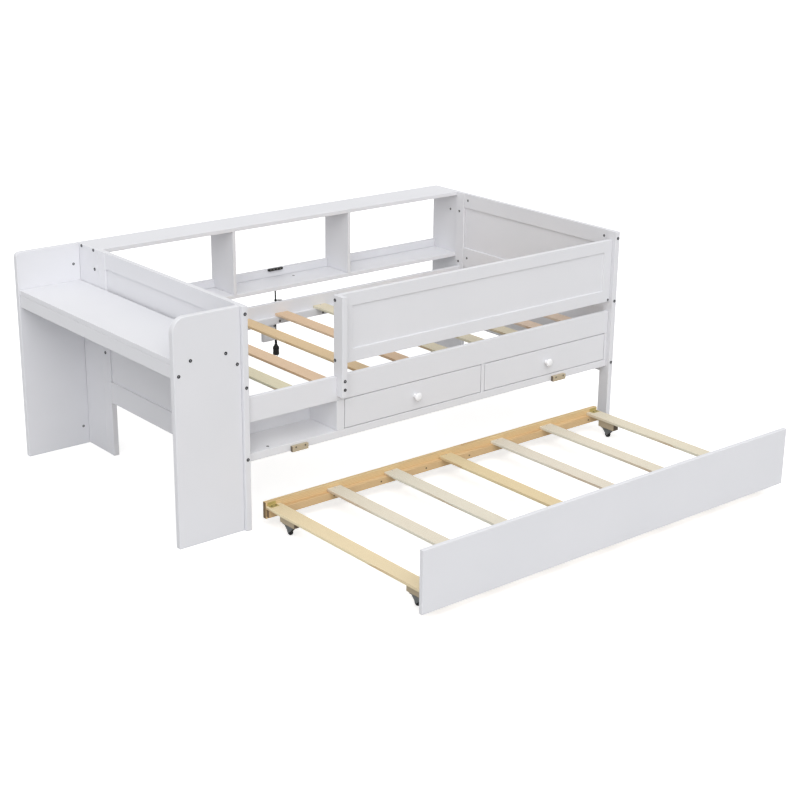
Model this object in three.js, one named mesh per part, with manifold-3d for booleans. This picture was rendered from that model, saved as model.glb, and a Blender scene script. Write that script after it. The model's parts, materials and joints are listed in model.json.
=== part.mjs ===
// Low daybed with a desk across its foot end, a back shelf, two drawers and a
// rolling trundle. Millimetres, +Z up, X along the bed (desk at -X),
// Y from the open front (0 = front faces of the posts) to the back.
import * as THREE from "three";
import { mergeVertices } from "three/addons/utils/BufferGeometryUtils.js";
import Module from "manifold-3d";

const wasm = await Module();
wasm.setup();
const { Manifold, Mesh } = wasm;

// ---- driving dimensions -------------------------------------------------
const GAP = 0.3; // clearance where two boards meet
const BED_LENGTH = 1987; // outside of the foot posts to outside of the head posts
const BED_WIDTH = 1058; // front of the front posts to back of the rear posts
const HEIGHT = 890;
const POST_X = 25;
const POST_Y = 57;
const END_RAIL_T = 22; // end-frame rails, along X
const END_PANEL_T = 8;
const END_JOINT = 0.8; // shadow line between an end frame and its posts
const END_TOP_RAIL = [822, 890];
const END_MID_RAIL = [530, 622];
const END_LOW_RAIL = [240, 333];
const RAIL_T = 19; // long rails, along Y
const RAIL_INSET = 20; // long rails sit this far inside the posts' outer faces
const RAIL_Z = [428, 528];
const LOW_RAIL_Z = [271, 303];
const CLEAT_T = 20;
const CLEAT_Z = [434, 468];
const SLAT_T = 12;
const SLAT_W = 69;
const SLAT_LEFTS = [45, 262, 430, 648, 856, 1068, 1275, 1472, 1623, 1805]; // as fitted, not even
const JOINT_BOARD = { x: [791, 858], z: [353, 428] }; // hangs under the rear rail at its joint

const LEG_X = [445, 470];
const LEG_FRONT = -18; // the guard's leg stands in front of the long rail
const LEG_FOOT_Z = 447;
const GUARD_Z = [573, 853];
const GUARD_BORDER = 53;
const GUARD_BORDER_HEAD = 45;
const GUARD_RECESS = 6;

const DIVIDERS = [[446, 484], [1206, 1224], [1946, 1961.7]]; // along X
const CASE_DEPTH = 160;
const CASE_BOARD = 15;
const DRAWER_GAP = 3;
const DRAWER_FRONT_T = 15;
const DRAWER_DEPTH = 148;
const KNOB_R = 18;
const KNOB_LENGTH = 28;

const BLOCK = [76, 14, 24]; // trundle stop blocks
const BLOCK_X = [222, 1619];
const BLOCK_TOP_Z = 293;

const DESK_DEPTH = 288; // panels reach this far past the foot posts
const DESK_NEAR_Y = [14, 39];
const DESK_PANEL_T = 25;
const DESK_TOP_Z = 733;
const DESK_TOP_T = 20;
const DESK_TOP_INSET = 5; // its outer edge stays inside the side panels
const DESK_TOP_SLOT = 2.5; // open joint along the footboard
const APRON_T = 18;
const APRON_H = 52;
const NEAR_CORNER_R = 55;
const FAR_CORNER_R = 20;

const SHELF_DEPTH = 178; // behind the rear posts
const SHELF_T = 18;
const SHELF_LOWER_Z = 569;
const SHELF_LOWER_T = 18;
const SHELF_LIP_TOP = 625;
const SHELF_END_T = 18;
const SHELF_DIVIDER_T = 15;
const SHELF_DIVIDERS = [665, 1300]; // left faces, along X
const OUTLET = { x: 956, w: 79, d: 12, z: 617, h: 10 };
const CORD_X = 950;
const CORD_Y = 1150;
const CORD_DROP = 230; // from under the shelf to the plug
const CORD_R = 3.6;
const PLUG = [[0, 0], [5, 0], [7, -58], [13, -66], [15.5, -78], [15, -108], [0, -108]]; // radius, height

const TRUNDLE_X = [30, 1946];
const TRUNDLE_FRONT_Y = -1000; // pulled out
const TRUNDLE_PANEL_Z = [36, 274];
const TRUNDLE_PANEL_T = 18;
const TRUNDLE_FRAME_X = [84, 1892];
const TRUNDLE_REAR_Y = 12; // outer face of the frame's rear rail
const TRUNDLE_RAIL_T = 19;
const TRUNDLE_RAIL_Z = [32, 100];
const TRUNDLE_CLEAT_Z = [42, 73];
const TRUNDLE_SLAT_T = 12;
const TRUNDLE_SLAT_COUNT = 7;
const TRUNDLE_SLAT_W = 68;
const CASTER_X = [114, 1846];
const CASTER_Y = [-878, -124];
const CASTER_BLOCK = [30, 92]; // packing under the end slats, same depth as the cleats
const CASTER_PLATE = [30, 66];
const CASTER_SHEET = 2;
const CHEEK_TOP = 60; // the cheeks taper from this to the axle
const CHEEK_FOOT_R = 4.5;
const WHEEL_R = 14;
const WHEEL_W = 10;
const AXLE_R = 2.5;

// ---- materials ----------------------------------------------------------
const material = (hex, roughness, metalness = 0) =>
  new THREE.MeshStandardMaterial({ color: hex, roughness, metalness });
const WHITE = 0xe6e6ea;
const PINE = 0xdcbc8c;
const white = () => material(WHITE, 0.45);
const pine = () => material(PINE, 0.6);
const black = () => material(0x17171a, 0.5);
const steel = () => material(0xb4b6b8, 0.35, 0.9);

// ---- helpers ------------------------------------------------------------
const part = new THREE.Group();

function add(name, geometry, mat) {
  const mesh = new THREE.Mesh(geometry, mat);
  mesh.name = name;
  part.add(mesh);
  return mesh;
}

function boxGeometry([x0, x1], [y0, y1], [z0, z1]) {
  const g = new THREE.BoxGeometry(x1 - x0, y1 - y0, z1 - z0);
  g.translate((x0 + x1) / 2, (y0 + y1) / 2, (z0 + z1) / 2);
  return g;
}

const board = (name, x, y, z, mat = white()) => add(name, boxGeometry(x, y, z), mat);

function solidFrom(geometry) {
  geometry.deleteAttribute("normal");
  geometry.deleteAttribute("uv");
  const merged = mergeVertices(geometry);
  return new Manifold(new Mesh({
    numProp: 3,
    vertProperties: new Float32Array(merged.attributes.position.array),
    triVerts: new Uint32Array(merged.index.array),
  }));
}

const solidBox = (x, y, z) => solidFrom(boxGeometry(x, y, z));

function fromSolid(solid) {
  const mesh = solid.getMesh();
  const indexed = new THREE.BufferGeometry();
  const xyz = new Float32Array(mesh.numVert * 3);
  for (let i = 0; i < mesh.numVert; i++) {
    for (let k = 0; k < 3; k++) xyz[3 * i + k] = mesh.vertProperties[i * mesh.numProp + k];
  }
  indexed.setAttribute("position", new THREE.BufferAttribute(xyz, 3));
  indexed.setIndex(new THREE.BufferAttribute(new Uint32Array(mesh.triVerts), 1));
  const g = indexed.toNonIndexed();
  g.computeVertexNormals();
  return g;
}

const at = (low, size) => [low, low + size];
const shrink = ([a, b], by = GAP) => [a + by, b - by];

// ---- bed frame ----------------------------------------------------------
const headX = [BED_LENGTH - POST_X, BED_LENGTH];
const footX = [0, POST_X];
const inner = [POST_X, BED_LENGTH - POST_X];
const frontPostY = [0, POST_Y];
const rearPostY = [BED_WIDTH - POST_Y, BED_WIDTH];
const frontRailY = at(RAIL_INSET, RAIL_T);
const rearRailY = [BED_WIDTH - RAIL_INSET - RAIL_T, BED_WIDTH - RAIL_INSET];

function posts() {
  board("post_foot_front", footX, frontPostY, [0, HEIGHT]);
  board("post_foot_rear", footX, rearPostY, [0, HEIGHT]);
  board("post_head_front", headX, frontPostY, [0, HEIGHT]);
  board("post_head_rear", headX, rearPostY, [0, HEIGHT]);
}

// Three rails with two thinner panels let in between them, glued up as one.
function endFrame(name, [x0, x1]) {
  const y = shrink([frontPostY[1], rearPostY[0]], END_JOINT);
  const mid = (x0 + x1) / 2;
  const rails = [END_TOP_RAIL, END_MID_RAIL, END_LOW_RAIL].map((z) =>
    solidBox([mid - END_RAIL_T / 2, mid + END_RAIL_T / 2], y, z));
  const panel = solidBox([mid - END_PANEL_T / 2, mid + END_PANEL_T / 2], y,
    [END_LOW_RAIL[0] + 20, END_TOP_RAIL[1] - 20]);
  add(name, fromSolid(Manifold.union([...rails, panel])), white());
}

function longRails() {
  board("front_rail", shrink(inner), frontRailY, RAIL_Z);
  board("front_low_rail", shrink(inner), frontRailY, LOW_RAIL_Z);
  const rear = solidBox(shrink(inner), rearRailY, RAIL_Z);
  const joint = solidBox(JOINT_BOARD.x, rearRailY, [JOINT_BOARD.z[0], JOINT_BOARD.z[1] + 10]);
  add("rear_rail", fromSolid(rear.add(joint)), white());
}

// Two cleats with the slats laid and fixed across them: one ladder.
function slatDeck() {
  const x = shrink(inner, 2);
  const y = [frontRailY[1] + GAP, rearRailY[0] - GAP];
  const solids = [
    solidBox(x, [y[0], y[0] + CLEAT_T], CLEAT_Z),
    solidBox(x, [y[1] - CLEAT_T, y[1]], CLEAT_Z),
  ];
  SLAT_LEFTS.forEach((left) => {
    solids.push(solidBox(at(left, SLAT_W), y, at(CLEAT_Z[1], SLAT_T)));
  });
  add("slat_deck", fromSolid(Manifold.union(solids)), pine());
}

// ---- guard rail ---------------------------------------------------------
function guard() {
  const back = frontRailY[1];
  const leg = solidBox(LEG_X, [LEG_FRONT, back], [LEG_FOOT_Z, GUARD_Z[1]]);
  const lap = solidBox([LEG_X[0] - 5, LEG_X[1] + 5], [frontRailY[0] - GAP, back + 5],
    [LEG_FOOT_Z - 5, RAIL_Z[1] + GAP]);
  add("guard_leg", fromSolid(leg.subtract(lap)), white());

  const x = [LEG_X[1] + GAP, inner[1] - GAP];
  const frame = solidBox(x, frontRailY, GUARD_Z);
  const field = [x[0] + GUARD_BORDER, x[1] - GUARD_BORDER_HEAD];
  const fieldZ = shrink(GUARD_Z, GUARD_BORDER);
  const faces = [[frontRailY[0] - 1, frontRailY[0] + GUARD_RECESS],
    [frontRailY[1] - GUARD_RECESS, frontRailY[1] + 1]];
  const cuts = faces.map((y) => solidBox(field, y, fieldZ));
  add("guard_panel", fromSolid(frame.subtract(Manifold.union(cuts))), white());
}

// ---- cubby and drawers --------------------------------------------------
function drawerCase() {
  const floorZ = [LOW_RAIL_Z[1] - CASE_BOARD, LOW_RAIL_Z[1]];
  const y0 = frontRailY[1] + GAP;
  const y1 = y0 + CASE_DEPTH;
  const wallZ = [LOW_RAIL_Z[1], RAIL_Z[0] - GAP];
  board("case_floor", shrink(inner), [y0, y1], floorZ);
  board("case_back", shrink(inner), [y1 + GAP, y1 + GAP + CASE_BOARD], [floorZ[0], RAIL_Z[0] - GAP]);
  DIVIDERS.forEach((x, i) => {
    const name = ["case_stile_foot", "case_divider", "case_stile_head"][i];
    board(name, x, [frontRailY[0], y1 - GAP], [wallZ[0] + GAP, wallZ[1]]);
  });
}

function drawer(side, x) {
  const z = shrink([LOW_RAIL_Z[1], RAIL_Z[0]], DRAWER_GAP);
  const front = shrink(x, DRAWER_GAP);
  const y0 = RAIL_INSET;
  board(`drawer_front_${side}`, front, at(y0, DRAWER_FRONT_T), z);
  const trayX = shrink(x, 8);
  const trayY = at(y0 + DRAWER_FRONT_T + GAP, DRAWER_DEPTH);
  const trayZ = [z[0] + 2, z[1] - 18];
  const outside = solidBox(trayX, trayY, trayZ);
  const inside = solidBox(shrink(trayX, 12), shrink(trayY, 12), [trayZ[0] + 8, trayZ[1] + 5]);
  add(`drawer_tray_${side}`, fromSolid(outside.subtract(inside)), pine());
  knob(`drawer_knob_${side}`, (front[0] + front[1]) / 2, y0 - GAP, (z[0] + z[1]) / 2);
}

// Turned mushroom knob on a short neck, axis along Y.
function knob(name, x, y, z) {
  const profile = [
    [0, 0], [9.5, 0], [7.5, 5], [7, 10], [10, 14], [15.5, 16.5], [KNOB_R, 20.5],
    [16.5, 24], [11.5, 26.8], [5, KNOB_LENGTH - 0.2], [0, KNOB_LENGTH],
  ].map(([r, h]) => new THREE.Vector2(r, h));
  const g = new THREE.LatheGeometry(profile, 28);
  g.rotateX(Math.PI); // height runs to -Y
  g.translate(x, y, z);
  add(name, g, white());
}

function stopBlocks() {
  const y = [RAIL_INSET - GAP - BLOCK[1], RAIL_INSET - GAP];
  const z = [BLOCK_TOP_Z - BLOCK[2], BLOCK_TOP_Z];
  BLOCK_X.forEach((x, i) => board(`stop_block_${i + 1}`, at(x, BLOCK[0]), y, z, pine()));
}

// ---- desk ---------------------------------------------------------------
// A board standing in the XZ plane with its upper outer corner rounded.
function sidePanel(name, [y0, y1], radius) {
  const shape = new THREE.Shape();
  shape.moveTo(-DESK_DEPTH, 0);
  shape.lineTo(-GAP, 0);
  shape.lineTo(-GAP, HEIGHT);
  shape.lineTo(-DESK_DEPTH + radius, HEIGHT);
  shape.absarc(-DESK_DEPTH + radius, HEIGHT - radius, radius, Math.PI / 2, Math.PI, false);
  shape.closePath();
  const g = new THREE.ExtrudeGeometry(shape, { depth: y1 - y0, bevelEnabled: false, curveSegments: 16 });
  g.rotateX(Math.PI / 2);
  g.translate(0, y1, 0);
  add(name, g, white());
}

const shelfBack = BED_WIDTH + SHELF_DEPTH;
const deskFarY = [shelfBack - DESK_PANEL_T, shelfBack];

function desk() {
  sidePanel("desk_panel_near", DESK_NEAR_Y, NEAR_CORNER_R);
  sidePanel("desk_panel_far", deskFarY, FAR_CORNER_R);
  const y = [DESK_NEAR_Y[1] + GAP, deskFarY[0] - GAP];
  const topZ = [DESK_TOP_Z - DESK_TOP_T, DESK_TOP_Z];
  const outerEdge = -DESK_DEPTH + DESK_TOP_INSET;
  board("desk_top", [outerEdge, -DESK_TOP_SLOT], y, topZ);
  const apronZ = [topZ[0] - GAP - APRON_H, topZ[0] - GAP];
  board("desk_apron_front", at(outerEdge, APRON_T), y, apronZ);
  board("desk_apron_rear", [-26, -26 + APRON_T], y, apronZ);
}

// ---- back shelf ---------------------------------------------------------
function shelf() {
  const y = [BED_WIDTH + GAP, shelfBack];
  board("shelf_end_foot", [0, SHELF_END_T], y, [0, HEIGHT]);
  board("shelf_end_head", [BED_LENGTH - SHELF_END_T, BED_LENGTH], y, [0, HEIGHT]);
  const x = shrink([SHELF_END_T, BED_LENGTH - SHELF_END_T]);
  board("shelf_top", x, y, [HEIGHT - SHELF_T, HEIGHT]);
  const lower = at(SHELF_LOWER_Z, SHELF_LOWER_T);
  board("shelf_lower", x, y, lower);
  board("shelf_lip", x, [shelfBack - SHELF_T, shelfBack], [lower[1] + GAP, SHELF_LIP_TOP]);
  const lipNotch = solidBox([0, BED_LENGTH], [shelfBack - SHELF_T - GAP, shelfBack + 1],
    [lower[1], SHELF_LIP_TOP + GAP]);
  SHELF_DIVIDERS.forEach((left, i) => {
    const wall = solidBox(at(left, SHELF_DIVIDER_T), y, [lower[1] + GAP, HEIGHT - SHELF_T - GAP]);
    add(`shelf_divider_${i + 1}`, fromSolid(wall.subtract(lipNotch)), white());
  });
}

// ---- outlet, cord and plug ----------------------------------------------
// Round cord along a curve, closed at both ends.
function tube(points, radius, rings, sides = 12) {
  const curve = new THREE.CatmullRomCurve3(points, false, "centripetal");
  const frames = curve.computeFrenetFrames(rings - 1, false);
  const corners = [];
  for (let i = 0; i < rings; i++) {
    const c = curve.getPointAt(i / (rings - 1));
    for (let k = 0; k < sides; k++) {
      const a = (2 * Math.PI * k) / sides;
      corners.push(c.clone()
        .addScaledVector(frames.normals[i], radius * Math.cos(a))
        .addScaledVector(frames.binormals[i], radius * Math.sin(a)));
    }
  }
  const index = [];
  for (let i = 0; i + 1 < rings; i++) {
    for (let k = 0; k < sides; k++) {
      const a = i * sides + k;
      const b = i * sides + ((k + 1) % sides);
      index.push(a, b, b + sides, a, b + sides, a + sides);
    }
  }
  const last = (rings - 1) * sides;
  for (let k = 1; k + 1 < sides; k++) {
    index.push(0, k + 1, k, last, last + k, last + k + 1);
  }
  const g = new THREE.BufferGeometry().setFromPoints(corners);
  g.setIndex(index);
  const loose = g.toNonIndexed();
  loose.computeVertexNormals();
  return loose;
}

function outletAndCord() {
  const lipFace = shelfBack - SHELF_T - GAP;
  board("outlet", at(OUTLET.x, OUTLET.w), [lipFace - OUTLET.d, lipFace], at(OUTLET.z, OUTLET.h), black());
  const top = SHELF_LOWER_Z - GAP;
  const v = (dx, dy, drop) => new THREE.Vector3(CORD_X + dx, CORD_Y + dy, top - drop);
  const run = [v(0, 0, 0), v(0.5, 0, 60), v(2, 1, 120), v(1, 1, 180), v(0, 0, CORD_DROP)];
  add("cord", tube(run, CORD_R, 40), black());
  const g = new THREE.LatheGeometry(PLUG.map(([r, h]) => new THREE.Vector2(r, h)).reverse(), 20);
  g.rotateX(Math.PI / 2);
  g.translate(CORD_X, CORD_Y, top - CORD_DROP - GAP);
  add("plug", g, black());
}

// ---- trundle ------------------------------------------------------------
const panelY = at(TRUNDLE_FRONT_Y, TRUNDLE_PANEL_T);
const trundleRearY = [TRUNDLE_REAR_Y - TRUNDLE_RAIL_T, TRUNDLE_REAR_Y];
const trundleFrontY = at(panelY[1] + GAP, TRUNDLE_RAIL_T);

function trundle() {
  board("trundle_panel", TRUNDLE_X, panelY, TRUNDLE_PANEL_Z);
  board("trundle_rail_rear", TRUNDLE_FRAME_X, trundleRearY, TRUNDLE_RAIL_Z, pine());
  board("trundle_rail_front", TRUNDLE_FRAME_X, trundleFrontY, TRUNDLE_RAIL_Z, pine());
  const y = [trundleFrontY[1] + GAP, trundleRearY[0] - GAP];
  const cleatX = shrink(TRUNDLE_FRAME_X, 2);
  board("trundle_cleat_rear", cleatX, [y[1] - CLEAT_T, y[1]], TRUNDLE_CLEAT_Z, pine());
  board("trundle_cleat_front", cleatX, [y[0], y[0] + CLEAT_T], TRUNDLE_CLEAT_Z, pine());
  const z = at(TRUNDLE_CLEAT_Z[1] + GAP, TRUNDLE_SLAT_T);
  const span = TRUNDLE_FRAME_X[1] - TRUNDLE_FRAME_X[0] - TRUNDLE_SLAT_W;
  for (let i = 0; i < TRUNDLE_SLAT_COUNT; i++) {
    const left = TRUNDLE_FRAME_X[0] + (span * i) / (TRUNDLE_SLAT_COUNT - 1);
    const slat = [solidBox(at(left, TRUNDLE_SLAT_W), y, z)];
    const casterX = { 0: CASTER_X[0], [TRUNDLE_SLAT_COUNT - 1]: CASTER_X[1] }[i];
    if (casterX) {
      const [w, d] = CASTER_BLOCK;
      CASTER_Y.forEach((cy) => slat.push(
        solidBox(at(casterX - w / 2, w), at(cy - d / 2, d), [TRUNDLE_CLEAT_Z[0], z[1] - 1])));
    }
    add(`trundle_slat_${i + 1}`, fromSolid(Manifold.union(slat)), pine());
  }
}

// Upright triangular cheek in the YZ plane, its point rounded about the axle.
function cheek(x0, y, top) {
  const shape = new THREE.Shape();
  shape.moveTo(y + CHEEK_TOP / 2, top);
  shape.lineTo(y - CHEEK_TOP / 2, top);
  shape.absarc(y, WHEEL_R, CHEEK_FOOT_R, 1.12 * Math.PI, 1.88 * Math.PI, false);
  shape.closePath();
  const g = new THREE.ExtrudeGeometry(shape, { depth: CASTER_SHEET, bevelEnabled: false, curveSegments: 10 });
  g.rotateX(Math.PI / 2); // shape Y up to Z, extrusion to -Y
  g.rotateZ(Math.PI / 2); // shape X to Y, extrusion to +X
  g.translate(x0, 0, 0);
  return solidFrom(g);
}

// Fixed caster: a plate with two cheeks bent down from it and a riveted axle.
function caster(id, x, y) {
  const top = TRUNDLE_CLEAT_Z[0] - GAP;
  const [w, d] = CASTER_PLATE;
  const plate = solidBox(at(x - w / 2, w), at(y - d / 2, d), [top - CASTER_SHEET, top]);
  const half = WHEEL_W / 2 + 1.2;
  const cheeks = [-half - CASTER_SHEET, half].map((dx) => cheek(x + dx, y, top - CASTER_SHEET / 2));
  const pin = new THREE.CylinderGeometry(AXLE_R, AXLE_R, 2 * (half + CASTER_SHEET) + 2, 16);
  pin.rotateZ(Math.PI / 2);
  pin.translate(x, y, WHEEL_R);
  add(`caster_fork_${id}`, fromSolid(Manifold.union([plate, solidFrom(pin), ...cheeks])), steel());
  const bore = AXLE_R + GAP;
  const g = new THREE.LatheGeometry([
    [bore, -WHEEL_W / 2], [WHEEL_R - 2, -WHEEL_W / 2], [WHEEL_R, -WHEEL_W / 2 + 2],
    [WHEEL_R, WHEEL_W / 2 - 2], [WHEEL_R - 2, WHEEL_W / 2], [bore, WHEEL_W / 2], [bore, -WHEEL_W / 2],
  ].map(([r, h]) => new THREE.Vector2(r, h)), 36);
  g.rotateZ(-Math.PI / 2);
  g.translate(x, y, WHEEL_R);
  add(`caster_wheel_${id}`, g, black());
}

posts();
endFrame("footboard", footX);
endFrame("headboard", headX);
longRails();
slatDeck();
guard();
drawerCase();
drawer("foot", [DIVIDERS[0][1], DIVIDERS[1][0]]);
drawer("head", [DIVIDERS[1][1], DIVIDERS[2][0]]);
stopBlocks();
desk();
shelf();
outletAndCord();
trundle();
["foot_front", "foot_rear", "head_front", "head_rear"].forEach((id, i) =>
  caster(id, CASTER_X[i < 2 ? 0 : 1], CASTER_Y[i % 2]));

export default part;
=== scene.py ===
import json
import math
import random

import bmesh
import bpy
from mathutils import Matrix, Vector


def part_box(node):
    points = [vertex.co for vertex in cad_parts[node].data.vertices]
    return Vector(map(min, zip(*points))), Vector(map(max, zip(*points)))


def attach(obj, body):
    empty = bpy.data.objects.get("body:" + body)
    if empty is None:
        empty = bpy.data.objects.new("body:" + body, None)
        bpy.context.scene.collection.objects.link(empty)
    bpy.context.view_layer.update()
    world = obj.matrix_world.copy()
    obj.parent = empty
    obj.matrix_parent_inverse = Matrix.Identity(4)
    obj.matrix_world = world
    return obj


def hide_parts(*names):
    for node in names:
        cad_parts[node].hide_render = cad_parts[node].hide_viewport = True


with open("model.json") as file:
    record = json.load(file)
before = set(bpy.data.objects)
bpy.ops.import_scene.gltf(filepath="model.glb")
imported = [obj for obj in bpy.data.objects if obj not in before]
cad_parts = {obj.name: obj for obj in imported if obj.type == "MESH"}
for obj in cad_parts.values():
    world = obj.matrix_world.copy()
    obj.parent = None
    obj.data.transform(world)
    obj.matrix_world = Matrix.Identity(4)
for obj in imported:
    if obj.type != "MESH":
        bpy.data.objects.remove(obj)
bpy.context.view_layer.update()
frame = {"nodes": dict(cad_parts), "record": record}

# A low daybed with a desk over its foot end, a back shelf, two drawers, a cubby and a rolling
# trundle. Metres, X from foot to head, Y from the open front to the back shelf, Z up.
nodes = frame["nodes"]
mm = 0.001
print("frame loaded:", len(nodes), "nodes")

# Camera: three quarter view from the foot end, a little above the guard.
camera = {
    "target": (0.7897, 0.0495, 0.350),
    "azimuth": -39.57,      # degrees, as are elevation and roll
    "elevation": 19.29,
    "roll": 0.7,
    "distance": 6.4919,
    "lens": 72.01,          # mm, on a sensor this wide
    "sensor": 36,
    "clip": (0.1, 60),
}


def placeCamera():
    azimuth, elevation, roll = (math.radians(camera[name]) for name in ("azimuth", "elevation", "roll"))
    back = Vector((
        math.sin(azimuth) * math.cos(elevation),
        -math.cos(azimuth) * math.cos(elevation),
        math.sin(elevation),
    ))
    right = Vector((math.cos(azimuth), math.sin(azimuth), 0))
    up = back.cross(right)
    c, s = math.cos(roll), math.sin(roll)
    turn = Matrix((right * c + up * s, up * c - right * s, back)).transposed()
    stand = Vector(camera["target"]) + back * camera["distance"]
    data = bpy.data.cameras.new("camera")
    data.lens, data.sensor_width = camera["lens"], camera["sensor"]
    data.clip_start, data.clip_end = camera["clip"]
    eye = bpy.data.objects.new("camera", data)
    eye.matrix_world = Matrix.Translation(stand) @ turn.to_4x4()
    bpy.context.scene.collection.objects.link(eye)
    bpy.context.scene.camera = eye


placeCamera()
print("camera placed")


# Small tools.
def linear(code):
    # "#RRGGBB" as a person picks it, turned to the linear colour that a node wants
    parts = [int(code[i:i + 2], 16) / 255 for i in (1, 3, 5)]
    return tuple(c / 12.92 if c <= 0.04045 else ((c + 0.055) / 1.055) ** 2.4 for c in parts) + (1.0,)


def addNode(tree, kind, settings=None, values=None, links=None):
    node = tree.nodes.new(kind)
    for name, value in (settings or {}).items():
        setattr(node, name, value)
    for socket, value in (values or {}).items():
        node.inputs[socket].default_value = value
    for socket, source in (links or {}).items():
        tree.links.new(source, node.inputs[socket])
    return node


def newPiece(name, mesh):
    piece = bpy.data.objects.new(name, mesh)
    bpy.context.scene.collection.objects.link(piece)
    return piece


def inMm(node):
    low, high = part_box(node)
    return low / mm, high / mm


def inMetres(profile):
    return [(radius * mm, height * mm) for radius, height in profile]


def meshFrom(name, bm):
    mesh = bpy.data.meshes.new(name)
    bmesh.ops.recalc_face_normals(bm, faces=bm.faces)
    bm.to_mesh(mesh)
    bm.free()
    mesh.polygons.foreach_set("use_smooth", [True] * len(mesh.polygons))
    return mesh


def applyModifiers(piece):
    depsgraph = bpy.context.evaluated_depsgraph_get()
    made = bpy.data.meshes.new_from_object(piece.evaluated_get(depsgraph))
    old = piece.data
    piece.modifiers.clear()
    piece.data = made
    made.name = piece.name
    if old.users == 0:
        bpy.data.meshes.remove(old)


sharp = math.radians(35)  # only edges that turn more than this are eased


def easeEdges(piece, radius, segments=3):
    bevel = piece.modifiers.new("eased edges", "BEVEL")
    bevel.width, bevel.segments, bevel.limit_method = radius, segments, "ANGLE"
    bevel.angle_limit = sharp
    normals = piece.modifiers.new("flat faces stay flat", "WEIGHTED_NORMAL")
    normals.weight = 100  # the large faces win
    applyModifiers(piece)


def slab(bm, low, high):
    made = bmesh.ops.create_cube(bm, size=1)["verts"]
    low, high = Vector(low), Vector(high)
    for v in made:
        v.co = Vector(((v.co[i] + 0.5) * (high[i] - low[i]) + low[i] for i in range(3)))
    return made


def lathe(bm, profile, centre, axis, steps=40):
    # profile is (radius, height) from one end to the other; height runs along axis
    # a profile that ends where it starts makes a ring, any other is closed at both ends
    turn = Vector((0, 0, 1)).rotation_difference(Vector(axis)).to_matrix()
    ringShaped = profile[0] == profile[-1]
    rings = []
    for radius, height in profile[:-1] if ringShaped else profile:
        if radius < 1e-7:
            rings.append([bm.verts.new(turn @ Vector((0, 0, height)) + Vector(centre))])
            continue
        ring = []
        for k in range(steps):
            a = 2 * math.pi * k / steps
            p = Vector((radius * math.cos(a), radius * math.sin(a), height))
            ring.append(bm.verts.new(turn @ p + Vector(centre)))
        rings.append(ring)
    loops = rings + rings[:1] if ringShaped else rings
    for low, high in zip(loops, loops[1:]):
        for k in range(steps):
            n = (k + 1) % steps
            corners = [low[k % len(low)], low[n % len(low)], high[n % len(high)], high[k % len(high)]]
            unique = [v for i, v in enumerate(corners) if v not in corners[:i]]
            bm.faces.new(unique)
    for ring in () if ringShaped else (rings[0], rings[-1]):
        if len(ring) > 1:
            bm.faces.new(ring)


def extrudeOutline(bm, outline, shift):
    # outline is a closed list of points in mm, moved by shift to make the second face
    near = [bm.verts.new(Vector(p) * mm) for p in outline]
    far = [bm.verts.new((Vector(p) + Vector(shift)) * mm) for p in outline]
    bm.faces.new(near)
    bm.faces.new(far)
    for k in range(len(outline)):
        n = (k + 1) % len(outline)
        bm.faces.new((near[k], near[n], far[n], far[k]))


# Boards carry "grain": metres along, across and through the board, so every pattern follows it.
# Bare pine also carries "endGrain", 1 on the sawn ends, and "tone", the colour of its own plank.
def grainOf(piece, seed, axis=None):
    mesh = piece.data
    points = [v.co for v in mesh.vertices]
    size = [max(p[i] for p in points) - min(p[i] for p in points) for i in range(3)]
    order = sorted(range(3), key=lambda i: -size[i])
    if axis is not None:
        order = [axis] + [i for i in order if i != axis]
    shift = random.Random(seed)
    offset = [shift.uniform(-3, 3), shift.uniform(-3, 3), shift.uniform(-3, 3)]
    layer = mesh.attributes.get("grain") or mesh.attributes.new("grain", "FLOAT_VECTOR", "POINT")
    for i, p in enumerate(points):
        layer.data[i].vector = [p[order[k]] + offset[k] for k in range(3)]


def endGrainOf(piece, axis):
    mesh = piece.data
    layer = mesh.attributes.get("endGrain") or mesh.attributes.new("endGrain", "FLOAT", "FACE")
    for face, item in zip(mesh.polygons, layer.data):
        item.value = 1.0 if abs(face.normal[axis]) > 0.9 else 0.0


def toneOf(piece, code):
    mesh = piece.data
    layer = mesh.attributes.get("tone") or mesh.attributes.new("tone", "FLOAT_COLOR", "POINT")
    colour = linear(code)
    for item in layer.data:
        item.color = colour


# Materials.
def emptyMaterial(name):
    material = bpy.data.materials.new(name)
    material.use_nodes = True
    material.node_tree.nodes.clear()
    return material, material.node_tree


def finishShader(tree, values, links=None):
    shader = addNode(tree, "ShaderNodeBsdfPrincipled", values=values, links=links)
    addNode(tree, "ShaderNodeOutputMaterial", links={"Surface": shader.outputs[0]})


# Satin lacquer, sprayed over sanded pine and fibreboard: an even off-white with a soft sheen,
# a faint orange peel a millimetre or two across, and a little of the grain still telling through.
lacquer = {
    "white": "#E6E6EA",
    "shade": "#E0E1E5",
    "roughness": 0.42,
    "spread": (-0.05, 0.07),  # how far roughness wanders either way
    "peel": 2.2,              # mm between the bumps of the spray's orange peel
    "grain": 3.5,             # mm between raised grain lines
    "grainShare": 0.35,       # of the grain against the peel
    "stretch": 0.05,          # grain lines are twenty times as long as they are wide
    "cloud": 260,             # mm, slow change of film thickness
    "relief": 0.12,
    "depth": 0.0004,          # m
}


# The knobs are turned, dipped and harder: a brighter, glossier coat.
enamel = dict(lacquer, white="#FAFAFC", shade="#F4F4F7", roughness=0.26)


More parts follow.
